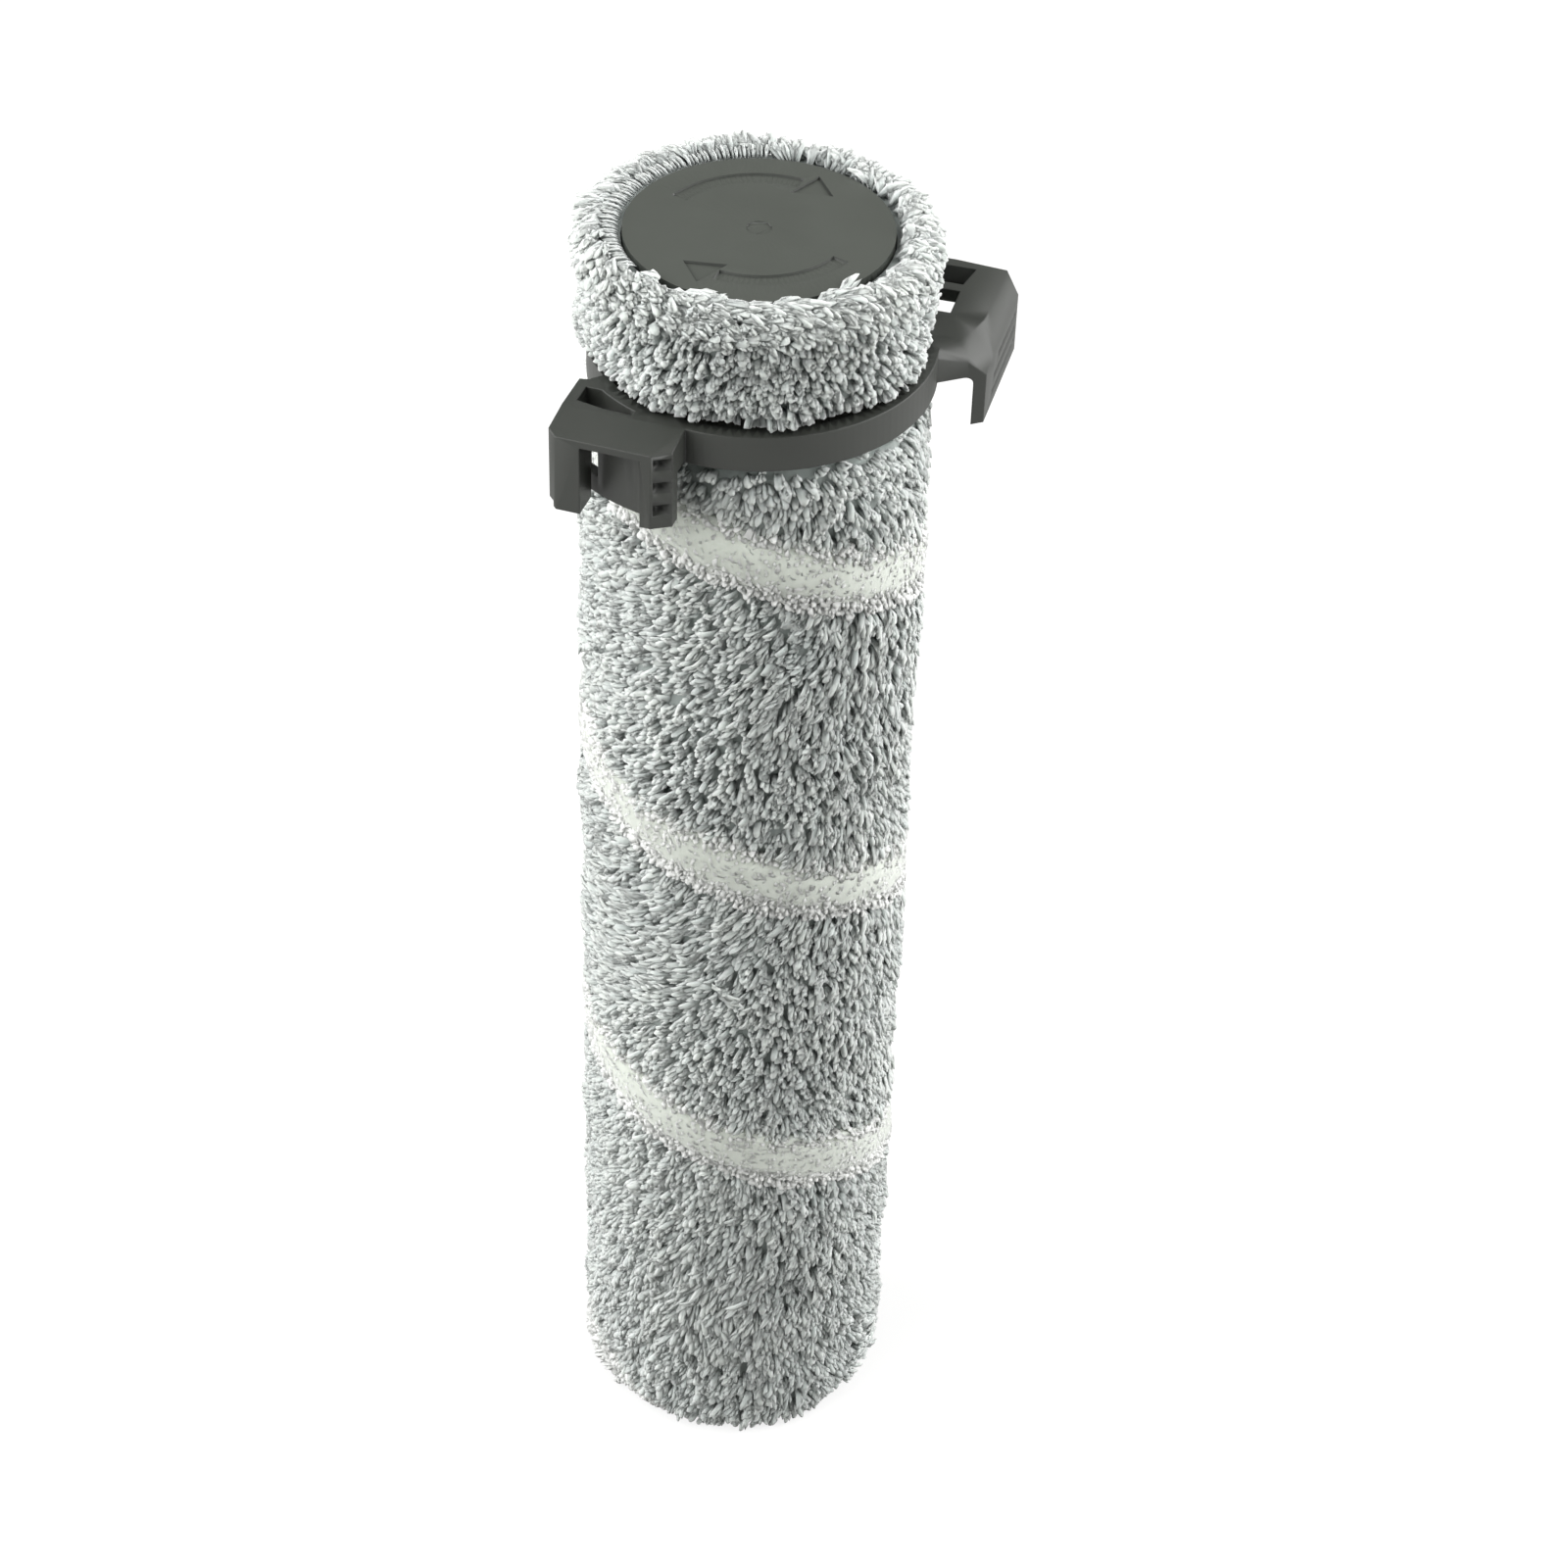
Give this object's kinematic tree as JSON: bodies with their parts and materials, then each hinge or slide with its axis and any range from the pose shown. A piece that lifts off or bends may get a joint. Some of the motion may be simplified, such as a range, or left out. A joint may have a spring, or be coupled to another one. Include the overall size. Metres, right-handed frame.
{
  "type": "floor cleaner brush roll",
  "caption": "Piled cleaning roller with a short end section and a bearing bracket between the two sections, driven through an open socket at its other end.",
  "frame": {"origin": "centre of the drive socket's mouth, on the face that the roller stands on", "axes": "+Z along the roller's axis from the drive end to the end cap, -Y towards the front of the bracket's slotted leg"},
  "size_m": [0.0727, 0.0606, 0.2472],
  "materials": {
    "grey_pile": "tufted microfibre pile, grey roots and pale tips",
    "white_pile": "dense white microfibre pile",
    "tube_plastic": "extruded, satin",
    "grey_plastic": "moulded ABS, fine texture",
    "cap_plastic": "moulded ABS, fine satin texture",
    "rubber": "moulded nitrile",
    "steel": "ground",
    "cage_polymer": "moulded polyamide",
    "felt": "pressed wool felt"
  },
  "bodies": {
    "roller": {"core_tube": "tube_plastic", "long_pile_sleeve": "grey_pile", "white_pile_stripe": "white_pile", "drive_socket": "grey_plastic", "socket_o_ring": "rubber", "end_plug": "grey_plastic", "plug_o_ring": "rubber", "spindle": "steel", "lower_spacer": "steel", "bearing_inner_race": "steel", "upper_spacer": "steel", "short_hub": "grey_plastic", "short_pile_sleeve": "grey_pile", "hub_washer": "steel", "hub_screw": "steel", "end_cap": "cap_plastic"},
    "bracket": {"bracket": "grey_plastic", "bearing_outer_race": "steel", "bearing_lower_shield": "rubber", "bearing_upper_shield": "rubber", "bearing_retainer": "steel", "lower_felt_seal": "felt", "upper_felt_seal": "felt"},
    "ball_cage": {"bearing_balls": "steel", "bearing_cage": "cage_polymer"}
  },
  "joints": [
    {"name": "bracket_spin", "type": "hinge", "parent": "roller", "child": "bracket", "pos_m": [0, 0, 0.2242], "axis": [0, 0, 1], "continuous": true},
    {"name": "cage_spin", "type": "hinge", "parent": "roller", "child": "ball_cage", "pos_m": [0, 0, 0.2242], "axis": [0, 0, 1], "continuous": true}
  ],
  "couplings": [
    {"joint": "cage_spin", "follows": "bracket_spin", "ratio": 0.6323}
  ]
}
